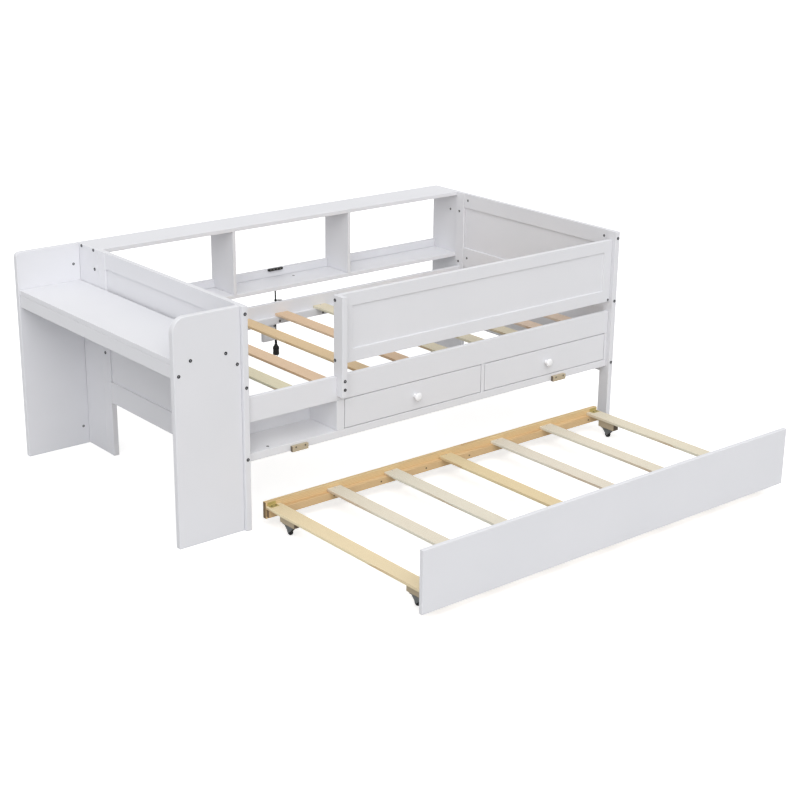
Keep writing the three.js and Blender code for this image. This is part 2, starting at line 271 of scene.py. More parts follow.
def whiteLacquer(name, coat):
    material, tree = emptyMaterial(name)
    grain = addNode(tree, "ShaderNodeAttribute", {"attribute_name": "grain"}).outputs["Vector"]
    cloud = addNode(tree, "ShaderNodeTexNoise", values={"Scale": 1000 / coat["cloud"], "Detail": 3.0},
                    links={"Vector": grain})
    colour = addNode(tree, "ShaderNodeMix", {"data_type": "RGBA"},
                     {6: linear(coat["shade"]), 7: linear(coat["white"])}, {0: cloud.outputs["Fac"]})
    peel = addNode(tree, "ShaderNodeTexNoise", values={"Scale": 1000 / coat["peel"], "Detail": 1.0},
                   links={"Vector": grain})
    stretched = addNode(tree, "ShaderNodeMapping", values={"Scale": (coat["stretch"], 1, 1)},
                        links={"Vector": grain})
    fibres = addNode(tree, "ShaderNodeTexNoise", values={"Scale": 1000 / coat["grain"], "Detail": 4.0},
                     links={"Vector": stretched.outputs[0]})
    both = addNode(tree, "ShaderNodeMath", {"operation": "MULTIPLY_ADD"}, {1: coat["grainShare"]},
                   {0: fibres.outputs["Fac"], 2: peel.outputs["Fac"]})
    bump = addNode(tree, "ShaderNodeBump", values={"Strength": coat["relief"], "Distance": coat["depth"]},
                   links={"Height": both.outputs[0]})
    smoother, rougher = (coat["roughness"] + step for step in coat["spread"])
    rough = addNode(tree, "ShaderNodeMapRange", values={3: smoother, 4: rougher},
                    links={0: cloud.outputs["Fac"]})
    finishShader(tree, {"IOR": 1.5}, {
        "Base Color": colour.outputs[2],
        "Roughness": rough.outputs[0],
        "Normal": bump.outputs[0],
    })
    return material


# Planed pine, left bare: growth rings as darker lines along the board, a few knots, a dry face.
pine = {
    "ring": 6.0,             # mm between growth rings on a flat-sawn face
    "bandScale": 314,        # mm between the bands of a wave texture at scale 1
    "late": "#C29663",       # late wood, the dark half of each ring
    "lateFrom": 0.45,        # of the way through the ring
    "lateShare": 0.5,
    "wander": 0.05,          # m that the rings drift along the board
    "fibre": 0.9,            # mm, drawn coarser than real so that it shows
    "fibreTones": (0.86, 1.1),
    "knot": "#7A4B28",
    "knotEvery": 230,        # mm
    "knotEdge": (0.03, 0.062),
    "knotShare": 0.85,
    "end": "#9A9698",        # end grain, darker and greyer than the face; part of this grey is painted shade, matched to a shaded end
    "roughness": 0.62,
    "relief": 0.25,
    "depth": 0.0004,         # m
}


def barePine():
    material, tree = emptyMaterial("pine, planed")
    grain = addNode(tree, "ShaderNodeAttribute", {"attribute_name": "grain"}).outputs["Vector"]
    tone = addNode(tree, "ShaderNodeAttribute", {"attribute_name": "tone"}).outputs["Color"]
    long = addNode(tree, "ShaderNodeMapping", values={"Scale": (0.07, 1, 0.8)}, links={"Vector": grain})
    drift = addNode(tree, "ShaderNodeTexNoise", values={"Scale": 9.0, "Detail": 2.0},
                    links={"Vector": long.outputs[0]})
    bend = addNode(tree, "ShaderNodeVectorMath", {"operation": "MULTIPLY_ADD"}, {1: [pine["wander"]] * 3},
                   {0: drift.outputs["Color"], 2: long.outputs[0]})
    rings = addNode(tree, "ShaderNodeTexWave",
                    {"wave_type": "BANDS", "bands_direction": "Y", "wave_profile": "SAW"},
                    {"Scale": pine["bandScale"] / pine["ring"], "Distortion": 2.0, "Detail": 2.0,
                     "Detail Scale": 0.6},
                    {"Vector": bend.outputs[0]})
    late = addNode(tree, "ShaderNodeMapRange", {"interpolation_type": "SMOOTHSTEP"},
                   {1: pine["lateFrom"], 2: 1.0, 3: 0.0, 4: pine["lateShare"]}, {0: rings.outputs["Fac"]})
    streaks = addNode(tree, "ShaderNodeMapping", values={"Scale": (0.03, 1, 1)}, links={"Vector": grain})
    fibres = addNode(tree, "ShaderNodeTexNoise", values={"Scale": 1000 / pine["fibre"], "Detail": 3.0},
                     links={"Vector": streaks.outputs[0]})
    knotRoom = addNode(tree, "ShaderNodeMapping", values={"Scale": (0.62, 1, 1)}, links={"Vector": grain})
    knots = addNode(tree, "ShaderNodeTexVoronoi", {"feature": "F1"},
                    {"Scale": 1000 / pine["knotEvery"], "Randomness": 1.0}, {"Vector": knotRoom.outputs[0]})
    core, edge = pine["knotEdge"]
    knot = addNode(tree, "ShaderNodeMapRange", {"interpolation_type": "SMOOTHSTEP"},
                   {1: core, 2: edge, 3: pine["knotShare"], 4: 0.0}, {0: knots.outputs["Distance"]})
    ringed = addNode(tree, "ShaderNodeMix", {"data_type": "RGBA"}, {7: linear(pine["late"])},
                     {0: late.outputs[0], 6: tone})
    dark, light = pine["fibreTones"]
    threads = addNode(tree, "ShaderNodeMapRange", values={3: dark, 4: light}, links={0: fibres.outputs["Fac"]})
    threaded = addNode(tree, "ShaderNodeMix", {"data_type": "RGBA", "blend_type": "MULTIPLY"}, {0: 1.0},
                       {6: ringed.outputs[2], 7: threads.outputs[0]})
    knotted = addNode(tree, "ShaderNodeMix", {"data_type": "RGBA"}, {7: linear(pine["knot"])},
                      {0: knot.outputs[0], 6: threaded.outputs[2]})
    # sawn ends are multiplied by the end grey: the grain's own darkness and painted shade
    sawn = addNode(tree, "ShaderNodeAttribute", {"attribute_name": "endGrain"}).outputs["Fac"]
    ended = addNode(tree, "ShaderNodeMix", {"data_type": "RGBA", "blend_type": "MULTIPLY"},
                    {7: linear(pine["end"])}, {0: sawn, 6: knotted.outputs[2]})
    bump = addNode(tree, "ShaderNodeBump", values={"Strength": pine["relief"], "Distance": pine["depth"]},
                   links={"Height": fibres.outputs["Fac"]})
    finishShader(tree, {"IOR": 1.45, "Roughness": pine["roughness"]},
                 {"Base Color": ended.outputs[2], "Normal": bump.outputs[0]})
    return material


# Plated or blackened steel and moulded plastics differ in colour, metal and gloss; all have a fine
# uneven skin, with grit in millimetres and relief as the strength of its bump.
def hardSurface(name, code, dark, metallic, roughness, grit, relief):
    material, tree = emptyMaterial(name)
    place = addNode(tree, "ShaderNodeTexCoord").outputs["Object"]
    skin = addNode(tree, "ShaderNodeTexNoise", values={"Scale": 1000 / grit, "Detail": 3.0},
                   links={"Vector": place})
    colour = addNode(tree, "ShaderNodeMix", {"data_type": "RGBA"}, {6: linear(dark), 7: linear(code)},
                     {0: skin.outputs["Fac"]})
    rough = addNode(tree, "ShaderNodeMapRange", values={3: roughness - 0.08, 4: roughness + 0.12},
                    links={0: skin.outputs["Fac"]})
    bump = addNode(tree, "ShaderNodeBump", values={"Strength": relief, "Distance": 0.0002},
                   links={"Height": skin.outputs["Fac"]})
    finishShader(tree, {"Metallic": metallic},
                 {"Base Color": colour.outputs[2], "Roughness": rough.outputs[0], "Normal": bump.outputs[0]})
    return material


# Black oxide is near black with a low sheen, yellow zinc a pale gold, bright zinc a clean grey that
# pressing dulls, nickel warm and bright. Moulded nylon and ABS are soft blacks, extruded PVC a dull one.
white = whiteLacquer("satin lacquer, sprayed", lacquer)
knobWhite = whiteLacquer("enamel, dipped", enamel)
wood = barePine()
blackBolt = hardSurface("steel, black oxide", "#3C3C3F", "#1D1D1F", 0.85, 0.30, 1.5, 0.2)
yellowZinc = hardSurface("steel, yellow zinc plated", "#D9C98A", "#B5A467", 0.55, 0.36, 3.0, 0.2)
brightZinc = hardSurface("steel, bright zinc plated", "#C9CCD0", "#A4A7AC", 0.9, 0.32, 4.0, 0.2)
pressedSteel = hardSurface("steel, zinc plated, pressed", "#A3A7A9", "#74787B", 0.85, 0.38, 4.0, 0.2)
nylon = hardSurface("nylon, moulded black", "#1B1B1E", "#101012", 0.0, 0.42, 1.2, 0.3)
absBlack = hardSurface("ABS, moulded with a fine texture", "#222225", "#161618", 0.0, 0.5, 0.7, 0.5)
pvcBlack = hardSurface("PVC, extruded", "#151517", "#0D0D0F", 0.0, 0.6, 0.9, 0.35)
nickel = hardSurface("brass, nickel plated", "#D2CEC4", "#B7B2A6", 1.0, 0.24, 5.0, 0.1)
print("materials made")


def finishPiece(piece, material, body, slot, *replaced):
    if material:
        piece.data.materials.clear()
        piece.data.materials.append(material)
    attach(piece, body)
    if replaced:
        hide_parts(*replaced)
    return piece


# Cord and plug, in mm. What goes round the cord is bored a little wider than it.
cord = {"x": 950, "y": 1150, "top": 568.7, "drop": 230, "radius": 3.6, "bore": 3.75}
cordRoute = [  # mm aside, mm back, mm below the shelf
    (0, 0, 0), (0.1, 0, 15), (0.2, 0, 30), (0.4, 0, 45), (0.5, 0, 60), (0.9, 0.2, 75), (1.3, 0.5, 90),
    (1.7, 0.8, 105), (2, 1, 120), (2, 1.1, 135), (1.8, 1.1, 150), (1.4, 1.1, 165), (1, 1, 180),
    (0.6, 0.7, 195), (0.3, 0.4, 212), (0, 0, 230),
]


def hangCord():
    points = [Vector((cord["x"] + a, cord["y"] + b, cord["top"] - d)) * mm for a, b, d in cordRoute]
    curve = bpy.data.curves.new("power_cord", "CURVE")
    curve.dimensions, curve.bevel_depth, curve.bevel_resolution = "3D", cord["radius"] * mm, 6
    curve.use_fill_caps, curve.resolution_u = True, 4
    line = curve.splines.new("BEZIER")
    line.bezier_points.add(len(points) - 1)
    for stop, p in zip(line.bezier_points, points):
        stop.co, stop.handle_left_type, stop.handle_right_type = p, "AUTO", "AUTO"
    piece = newPiece("power_cord", curve)
    curve.materials.append(pvcBlack)
    return finishPiece(piece, None, "bed", "cord_jacket", "cord"), points


# Moulded plug: ribbed taper at the top, a body with a waist for the fingers, two flat blades.
plug = {
    "ribs": 7, "firstRib": 4, "ribPitch": 7.4, "ribRadius": 4.9, "ribGrows": 0.25, "ribDeep": 1.1,
    "body": [(7.2, 57), (10.5, 61.5), (13.6, 66), (15.3, 73), (14.0, 81), (14.0, 90), (14.9, 97),
             (14.7, 102), (13.6, 104), (0, 104)],
    "long": 104, "play": 0.3,  # play is the gap under the cord's end
    "bladeGap": 12.7, "bladeWide": 6.3, "bladeThick": 1.5, "bladeLong": 17,
}


def mouldPlug():
    x, y = cord["x"] * mm, cord["y"] * mm
    top = (cord["top"] - cord["drop"] - plug["play"]) * mm
    profile = [(0, 0), (4.6, 0)]
    for k in range(plug["ribs"]):
        z = plug["firstRib"] + k * plug["ribPitch"]
        rib = plug["ribRadius"] + plug["ribGrows"] * k
        groove = rib - plug["ribDeep"]
        profile += [(rib, z - 3), (rib, z), (groove, z + 0.7), (groove, z + 2.6), (rib + 0.3, z + 3.4)]
    profile += plug["body"]
    bm = bmesh.new()
    lathe(bm, inMetres(profile), (x, y, top), (0, 0, -1), 36)
    body = newPiece("plug_body", meshFrom("plug_body", bm))
    easeEdges(body, 0.3 * mm, 2)
    finishPiece(body, absBlack, "bed", "outlet_plastic", "plug")
    bm = bmesh.new()
    thick, wide = plug["bladeThick"] / 2 * mm, plug["bladeWide"] / 2 * mm
    tip, root = top - (plug["long"] + plug["bladeLong"]) * mm, top - (plug["long"] - 1) * mm
    for side in (-1, 1):
        cx = x + side * plug["bladeGap"] / 2 * mm
        slab(bm, (cx - thick, y - wide, tip), (cx + thick, y + wide, root))
    blades = newPiece("plug_blades", meshFrom("plug_blades", bm))
    easeEdges(blades, 0.5 * mm, 2)
    finishPiece(blades, nickel, "bed", "outlet_plastic")
    return body, blades


# The wire tie that still holds the cord's middle, one end sticking out.
tie = {
    "down": 74, "aside": 0.6,  # below the shelf and off the cord's line
    "wrap": [(cord["bore"], -4), (5.2, -4), (5.8, 0), (5.2, 4), (cord["bore"], 4), (cord["bore"], -4)],
    "tail": [(0, 0), (3.2, 0), (3.0, 16), (2.6, 30), (0, 31)],
    "from": (4, 0, 0), "along": (0.98, -0.1, -0.12),
}


def wireTie():
    centre = Vector((cord["x"] + tie["aside"], cord["y"], cord["top"] - tie["down"])) * mm
    bm = bmesh.new()
    lathe(bm, inMetres(tie["wrap"]), centre, (0, 0, 1), 24)
    lathe(bm, inMetres(tie["tail"]), centre + Vector(tie["from"]) * mm, tie["along"], 12)
    piece = newPiece("cord_tie", meshFrom("cord_tie", bm))
    return finishPiece(piece, pvcBlack, "bed", "cord_jacket")


# The cord leaves the shelf through a grommet with a soft, tapering sleeve.
sleeve = [(cord["bore"], 0), (9, 0), (9.2, 1), (8, 2.6), (5.4, 6), (4.7, 14), (4.1, 20),
          (cord["bore"], 20), (cord["bore"], 0)]


def grommet():
    bm = bmesh.new()
    hole = Vector((cord["x"], cord["y"], cord["top"] + 0.3)) * mm
    lathe(bm, inMetres(sleeve), hole, (0, 0, -1), 32)
    piece = newPiece("cord_grommet", meshFrom("cord_grommet", bm))
    return finishPiece(piece, pvcBlack, "bed", "cord_jacket")


cordPiece, cordLine = hangCord()
plugBody, plugBlades = mouldPlug()
wireTie()
grommet()


# Lacquered boards. Every board keeps its designed size; only its edges are eased, by this many mm.
boards = {
    "post_foot_front": 2.5, "post_foot_rear": 2.5, "post_head_front": 2.5, "post_head_rear": 2.5,
    "footboard": 1.2, "headboard": 1.2,
    "front_rail": 2.0, "front_low_rail": 2.0, "rear_rail": 2.0,
    "guard_leg": 2.5, "guard_panel": 1.6,
    "case_floor": 1.0, "case_back": 1.0, "case_stile_foot": 1.5, "case_divider": 1.2, "case_stile_head": 1.2,
    "desk_panel_near": 2.5, "desk_panel_far": 2.5,
    "desk_top": 1.8, "desk_apron_front": 1.5, "desk_apron_rear": 1.5,
    "shelf_end_foot": 2.0, "shelf_end_head": 2.0,
    "shelf_top": 1.6, "shelf_lower": 1.6, "shelf_lip": 1.6,
    "shelf_divider_1": 1.4, "shelf_divider_2": 1.4,
    "drawer_front_foot": 1.5, "drawer_front_head": 1.5, "trundle_panel": 2.0,
}
grainAlong = {"guard_leg": 2, "footboard": 1, "headboard": 1}  # axis, where it isn't the longest
weld = 0.02 * mm
flat = math.radians(0.5)
bodyOf = {node: body for body, members in frame["record"]["behaviour"]["bodies"].items() for node in members}


def copyOf(node, name):
    bm = bmesh.new()
    bm.from_mesh(nodes[node].data)
    bmesh.ops.remove_doubles(bm, verts=bm.verts, dist=weld)
    bmesh.ops.dissolve_limit(bm, angle_limit=flat, verts=bm.verts, edges=bm.edges)
    mesh = bpy.data.meshes.new(name)
    bm.to_mesh(mesh)
    bm.free()
    if "custom_normal" in mesh.attributes:
        mesh.attributes.remove(mesh.attributes["custom_normal"])
    mesh.polygons.foreach_set("use_smooth", [True] * len(mesh.polygons))
    return newPiece(name, mesh)


def dressBoards():
    for seed, (node, radius) in enumerate(boards.items()):
        piece = copyOf(node, node + "_lacquered")
        easeEdges(piece, radius * mm)
        grainOf(piece, seed, grainAlong.get(node))
        finishPiece(piece, white, bodyOf[node], "white_paint", node)


dressBoards()
print("boards dressed:", len(boards))


# Pine boards, slats and cleats. The slats are sawn from different planks, so each has its own
# tone, from the foot to the head.
slatTones = {
    "bed": ["#E3D8BD", "#E2DEC2", "#E3C8AA", "#E0C79F", "#E1C5A6",
            "#E4DEC6", "#E5DFC8", "#E3DCC4", "#E8D2BE", "#E7D3C0"],
    "trundle": ["#EDDEB9", "#EAE5D4", "#E9E6D6", "#EAD9AF", "#EAE5D6", "#EAE5D4", "#E9E4D0"],
    "rail": "#E3C898",
    "cleat": "#E0C193",
    # block is greyer and darker than the cleats the packing blocks are cut from: painted shade for their place
    # under the end slats; the stop blocks take it too
    "block": "#BCB29B",
    "tray": "#E2D2AE",
}


def pineBoard(name, low, high, tone, seed, radius=1.5):
    bm = bmesh.new()
    slab(bm, low, high)
    piece = newPiece(name, meshFrom(name, bm))
    easeEdges(piece, radius * mm, 2)
    grainOf(piece, seed)
    toneOf(piece, tone)
    size = [high[i] - low[i] for i in range(3)]
    endGrainOf(piece, size.index(max(size)))
    return piece


def pineFrom(node, tone, seed, radius=1.5):
    low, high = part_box(node)
    piece = pineBoard(node + "_planed", low, high, tone, seed, radius)
    return finishPiece(piece, wood, bodyOf[node], "bare_pine", node)


# Rows: a sample set down at each place by Geometry Nodes, made real and given its material.
def startRow(title, sample, finish, made):
    tree = bpy.data.node_groups.new(title, "GeometryNodeTree")
    for name, kind in (("Places", "Geometry"), (sample, "Object"), (finish, "Material")):
        tree.interface.new_socket(name, in_out="INPUT", socket_type="NodeSocket" + kind)
    tree.interface.new_socket(made, in_out="OUTPUT", socket_type="NodeSocketGeometry")
    start = addNode(tree, "NodeGroupInput")
    shape = addNode(tree, "GeometryNodeObjectInfo", {"transform_space": "ORIGINAL"}, {"As Instance": True},
                    {"Object": start.outputs[sample]})
    return tree, start.outputs, shape.outputs["Geometry"]


def endRow(tree, geometry, material, made):
    painted = addNode(tree, "GeometryNodeSetMaterial", links={"Geometry": geometry, "Material": material})
    addNode(tree, "NodeGroupOutput", links={made: painted.outputs[0]})
    return tree


# Each slat carries its own tone, and a shift so that no two show the same grain.
def slatRowTree():
    tree, start, board = startRow("slat row", "Slat", "Wood", "Slats")
    laid = addNode(tree, "GeometryNodeInstanceOnPoints", links={"Points": start["Places"], "Instance": board})
    real = addNode(tree, "GeometryNodeRealizeInstances", links={"Geometry": laid.outputs["Instances"]})
    place = addNode(tree, "GeometryNodeInputPosition")
    shift = addNode(tree, "GeometryNodeInputNamedAttribute", {"data_type": "FLOAT_VECTOR"}, {"Name": "shift"})
    swap = addNode(tree, "ShaderNodeSeparateXYZ", links={"Vector": place.outputs[0]})
    along = addNode(tree, "ShaderNodeCombineXYZ",
                    links={"X": swap.outputs["Y"], "Y": swap.outputs["X"], "Z": swap.outputs["Z"]})
    moved = addNode(tree, "ShaderNodeVectorMath", {"operation": "ADD"},
                    links={0: along.outputs[0], 1: shift.outputs["Attribute"]})
    stored = addNode(tree, "GeometryNodeStoreNamedAttribute", {"data_type": "FLOAT_VECTOR", "domain": "POINT"},
                     {"Name": "grain"}, {"Geometry": real.outputs[0], "Value": moved.outputs[0]})
    return endRow(tree, stored.outputs[0], start["Wood"], "Slats")


def growOn(points, tree, inputs):
    modifier = points.modifiers.new(tree.name, "NODES")
    modifier.node_group = tree
    for item in tree.interface.items_tree:
        if item.in_out == "INPUT" and item.name in inputs:
            modifier[item.identifier] = inputs[item.name]
    applyModifiers(points)
    return points


slatTree = slatRowTree()


def placesOf(name, spots, extra):
    mesh = bpy.data.meshes.new(name)
    mesh.from_pydata([tuple(p) for p in spots], [], [])
    for layerName, kind, values in extra:
        layer = mesh.attributes.new(layerName, kind, "POINT")
        field = "color" if kind == "FLOAT_COLOR" else "vector"
        for item, value in zip(layer.data, values):
            setattr(item, field, value)
    return newPiece(name, mesh)


def laySlats(name, lefts, low, high, tones, body, replaced, seed):
    # low and high are the first slat's corners; the others are the same board moved along X
    bm = bmesh.new()
    slab(bm, (0, low[1], low[2]), (high[0] - low[0], high[1], high[2]))
    sample = newPiece("slat_sample", meshFrom("slat_sample", bm))
    easeEdges(sample, 2.0 * mm, 3)
    endGrainOf(sample, 1)
    shift = random.Random(seed)
    shifts = [[shift.uniform(-4, 4) for k in range(3)] for x in lefts]
    row = placesOf(name, [(x, 0, 0) for x in lefts], [
        ("shift", "FLOAT_VECTOR", shifts),
        ("tone", "FLOAT_COLOR", [linear(code) for code in tones]),
    ])
    growOn(row, slatTree, {"Slat": sample, "Wood": wood})
    bpy.data.objects.remove(sample)
    return finishPiece(row, None, body, "bare_pine", *replaced)


# The cleats are lacquered with the rails, the slats laid on them are bare.
bedDeck = {  # mm; lefts is each slat's edge nearer the foot
    "lefts": [45, 262, 430, 648, 856, 1068, 1275, 1472, 1623, 1805],
    "wide": 69, "thick": 12, "cleat": 20, "gap": 0.2,
}


def bedSlats():
    low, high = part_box("slat_deck")
    slatLow = high.z - bedDeck["thick"] * mm
    lefts = [x * mm for x in bedDeck["lefts"]]
    laySlats("bed_slats", lefts, (0, low.y, slatLow), (bedDeck["wide"] * mm, high.y, high.z),
             slatTones["bed"], "bed", ["slat_deck"], 5)
    thick, top = bedDeck["cleat"] * mm, slatLow - bedDeck["gap"] * mm
    for name, y0 in (("front", low.y), ("rear", high.y - thick)):
        cleat = pineBoard("bed_cleat_" + name, (low.x, y0, low.z), (high.x, y0 + thick, top),
                          slatTones["cleat"], 40 + len(name))
        finishPiece(cleat, white, "bed", "white_paint")


trundleSlats = [f"trundle_slat_{k}" for k in range(1, 8)]


def trundleFrame():
    lefts = [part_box(name)[0].x for name in trundleSlats]
    low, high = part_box(trundleSlats[1])  # the end slats' solids hold their packing blocks too
    laySlats("trundle_slats", lefts, low, high, slatTones["trundle"], "trundle", trundleSlats, 9)
    lengthways = [(kind, end) for kind in ("rail", "cleat") for end in ("rear", "front")]
    for seed, (kind, end) in enumerate(lengthways):
        pineFrom(f"trundle_{kind}_{end}", slatTones[kind], 60 + seed)


# Casters, in mm. The end slats are packed down to them with offcuts of cleat.
caster = {
    "plate": (30, 66), "corner": 5, "sheet": 2, "screws": (3.6, 5),  # screws in from its edges
    "inside": 6.2,             # from the middle of the wheel to each cheek
    "cheek": 60, "foot": 4.5,  # long under the plate, drawn in to a foot round the axle
    "axle": 2.5, "wheel": 14,  # radii
    "packing": (30, 92), "gap": 0.3,
}
corners = ("foot_front", "foot_rear", "head_front", "head_rear")


def packingBlocks():
    slatLow = inMm(trundleSlats[1])[0]
    along, across = caster["packing"]
    for seed, corner in enumerate(corners):
        low, high = inMm("caster_fork_" + corner)
        x, y = (low.x + high.x) / 2, (low.y + high.y) / 2
        near = Vector((x - along / 2, y - across / 2, high.z + caster["gap"])) * mm
        far = Vector((x + along / 2, y + across / 2, slatLow.z)) * mm
        # their grey block tone is painted shade
        block = pineBoard("packing_" + corner, near, far, slatTones["block"], 90 + seed)
        finishPiece(block, wood, "trundle", "bare_pine")


bedSlats()
trundleFrame()
packingBlocks()
for k in (1, 2):
    pineFrom(f"stop_block_{k}", slatTones["block"], 80 + k, 1.0)
print("pine laid")


# Drawers: a box of thin pine boards; the bottom sits in a groove, so the sides stand past it.
tray = {"board": 12, "bottom": 5, "groove": 6}


def drawerBox(side):
    node = "drawer_tray_" + side
    low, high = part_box(node)
    t, grooveZ = tray["board"] * mm, low.z + tray["groove"] * mm
    bottomZ = grooveZ + tray["bottom"] * mm
    parts = {
        "left": ((low.x, low.y, low.z), (low.x + t, high.y, high.z)),
        "right": ((high.x - t, low.y, low.z), (high.x, high.y, high.z)),
        "inner": ((low.x + t, low.y, low.z), (high.x - t, low.y + t, high.z)),
        "back": ((low.x + t, high.y - t, low.z), (high.x - t, high.y, high.z)),
        "bottom": ((low.x + t / 2, low.y + t / 2, grooveZ), (high.x - t / 2, high.y - t / 2, bottomZ)),
    }
    for seed, (name, (a, b)) in enumerate(parts.items()):
        piece = pineBoard(f"drawer_{side}_{name}", a, b, slatTones["tray"], 100 + seed + len(side), 0.8)
        finishPiece(piece, wood, "drawer_" + side, "bare_pine", *([node] if name == "left" else []))


# Turned knob: neck, cove and a full round head, dipped before it is fitted. Radius and height in mm.
knobProfile = [
    (0, 0), (10, 0), (10, 1.2), (9, 2.4), (7.7, 4.5), (7.1, 7), (7, 10), (7.8, 12.6), (10, 14.8),
    (13.2, 16.2), (16, 17.6), (17.6, 19.3), (18, 21.2), (17.3, 23.4), (15.2, 25.4), (11.6, 26.9),
    (6.8, 27.8), (0, 28),
]


def turnKnob(side):
    node = "drawer_knob_" + side
    low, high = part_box(node)
    bm = bmesh.new()
    centre = Vector(((low.x + high.x) / 2, high.y, (low.z + high.z) / 2))
    lathe(bm, inMetres(knobProfile), centre, (0, -1, 0), 56)
    piece = newPiece(node + "_turned", meshFrom(node + "_turned", bm))
    grainOf(piece, len(side), 1)
    finishPiece(piece, knobWhite, "drawer_" + side, "knob_paint", node)


for side in ("foot", "head"):
    drawerBox(side)
    turnKnob(side)
print("drawers made")


# Screws and bolts. Sizes in mm. Each head is modelled once and set down at its places by one
# Geometry Nodes tree. Across is half the drive's width.
heads = {
    # the frame bolts' wide black head is partly painted shade: it stands for the shadowed counterbore round a
    # small bright cap
    "socketBolt": {"radius": 6.4, "height": 2.0, "drive": "hex", "across": 3.2, "deep": 1.8},
    "socketFloor": {"radius": 2.7, "height": 1.5, "drive": "hex", "across": 1.0, "deep": 0.4},
    "camNut": {"radius": 5.6, "height": 0.5, "drive": "cross", "across": 3.0, "deep": 1.6},
    "woodScrew": {"radius": 3.6, "height": 0.5, "drive": "cross", "across": 2.1, "deep": 1.3},
    "sheetScrew": {"radius": 2.6, "height": 0.9, "drive": "cross", "across": 1.6, "deep": 1.0},
}
driveSteps = 32
crossArm = 0.24    # half the width of a cross drive's arm, as a share of across
sunk = 0.8         # how far the head goes into the board


def driveRadius(drive, across, angle):
    if drive == "hex":
        sixth = math.pi / 3
        return across / math.cos((angle + sixth / 2) % sixth - sixth / 2)
    arm = across * crossArm
    c, s = abs(math.cos(angle)) + 1e-6, abs(math.sin(angle)) + 1e-6
    return max(min(across / c, arm / s), min(across / s, arm / c))


def headMesh(name):
    head = heads[name]
    chamfer = min(0.6, head["height"] * 0.6)
    outline = [
        (lambda a: head["radius"], -sunk),
        (lambda a: head["radius"], head["height"] - chamfer),
        (lambda a: head["radius"] - chamfer, head["height"]),
        (lambda a: driveRadius(head["drive"], head["across"], a), head["height"]),
        (lambda a: driveRadius(head["drive"], head["across"], a) * 0.9, head["height"] - head["deep"]),
    ]
    bm = bmesh.new()
    rings = []
    for radiusAt, height in outline:
        angles = [2 * math.pi * k / driveSteps for k in range(driveSteps)]
        rings.append([bm.verts.new(Vector((radiusAt(a) * math.cos(a), radiusAt(a) * math.sin(a), height)) * mm)
                      for a in angles])
    for low, high in zip(rings, rings[1:]):
        for k in range(driveSteps):
            n = (k + 1) % driveSteps
            bm.faces.new((low[k], low[n], high[n], high[k]))
    bm.faces.new(rings[0])
    bm.faces.new(rings[-1])
    mesh = meshFrom(name, bm)
    mesh.polygons.foreach_set("use_smooth", [False] * len(mesh.polygons))
    return mesh


def hardwareTree():
    tree, start, head = startRow("heads on places", "Head", "Metal", "Heads")
    facing = addNode(tree, "GeometryNodeInputNamedAttribute", {"data_type": "FLOAT_VECTOR"}, {"Name": "facing"})
    twist = addNode(tree, "FunctionNodeRandomValue", {"data_type": "FLOAT"},
                    {"Min": 0.0, "Max": 6.28, "Seed": 7})
    spin = addNode(tree, "ShaderNodeCombineXYZ", links={"Z": twist.outputs["Value"]})
    spun = addNode(tree, "FunctionNodeEulerToRotation", links={0: spin.outputs[0]})
    turned = addNode(tree, "FunctionNodeAlignRotationToVector", {"axis": "Z"},
                     links={"Rotation": spun.outputs[0], "Vector": facing.outputs["Attribute"]})
    placed = addNode(tree, "GeometryNodeInstanceOnPoints",
                     links={"Points": start["Places"], "Instance": head, "Rotation": turned.outputs[0]})
    real = addNode(tree, "GeometryNodeRealizeInstances", links={"Geometry": placed.outputs["Instances"]})
    return endRow(tree, real.outputs[0], start["Metal"], "Heads")


screwTree = hardwareTree()


def driveIn(name, head, metal, body, slot, places):
    # places are (x, y, z, facing) in mm, facing a unit vector
    sample = newPiece("head_sample", headMesh(head))
    spots = [Vector(p[:3]) * mm for p in places]
    row = placesOf(name, spots, [("facing", "FLOAT_VECTOR", [p[3] for p in places])])
    growOn(row, screwTree, {"Head": sample, "Metal": metal})
    bpy.data.objects.remove(sample)
    return finishPiece(row, None, body, slot)


# Which way a head faces.
front, back, foot, head, up, down = (0, -1, 0), (0, 1, 0), (-1, 0, 0), (1, 0, 0), (0, 0, 1), (0, 0, -1)

# Where the bolts go, in mm: x and z on a side, y and z on an end.
bolts = {
    "posts": [(x, z) for x in (12.5, 1974.5) for z in (291, 576, 860)],
    "desk": [(-217, 723), (-66, 722), (-268, 673), (-17, 671)],
    "shelf": [(1091, 883), (1190, 883), (1091, 578), (1190, 578), (1080, 82), (1087, 803)],
    "shelfTop": 800,       # above this the foot end shows its bolts too
    "rearPosts": [(0, 1033, 455, foot), (1987, 1033, 455, head)],
    "guard": [(445, 29, 833, foot), (445, 29, 592, foot), (457.5, -18, 515, front), (457.5, -18, 480, front)],
}


def frameBolts():
    near, far = inMm("desk_panel_near"), inMm("desk_panel_far")
    footEnd, headEnd = inMm("shelf_end_foot"), inMm("shelf_end_head")
    places = [(x, 0, z, front) for x, z in bolts["posts"]]
    places += [(x, near[0].y, z, front) for x, z in bolts["desk"]]
    places += [(x, far[1].y, z, back) for x, z in bolts["desk"]]
    places += [(headEnd[1].x, y, z, head) for y, z in bolts["shelf"]]
    places += [(footEnd[0].x, y, z, foot) for y, z in bolts["shelf"] if z > bolts["shelfTop"]]
    return places + bolts["rearPosts"] + bolts["guard"]


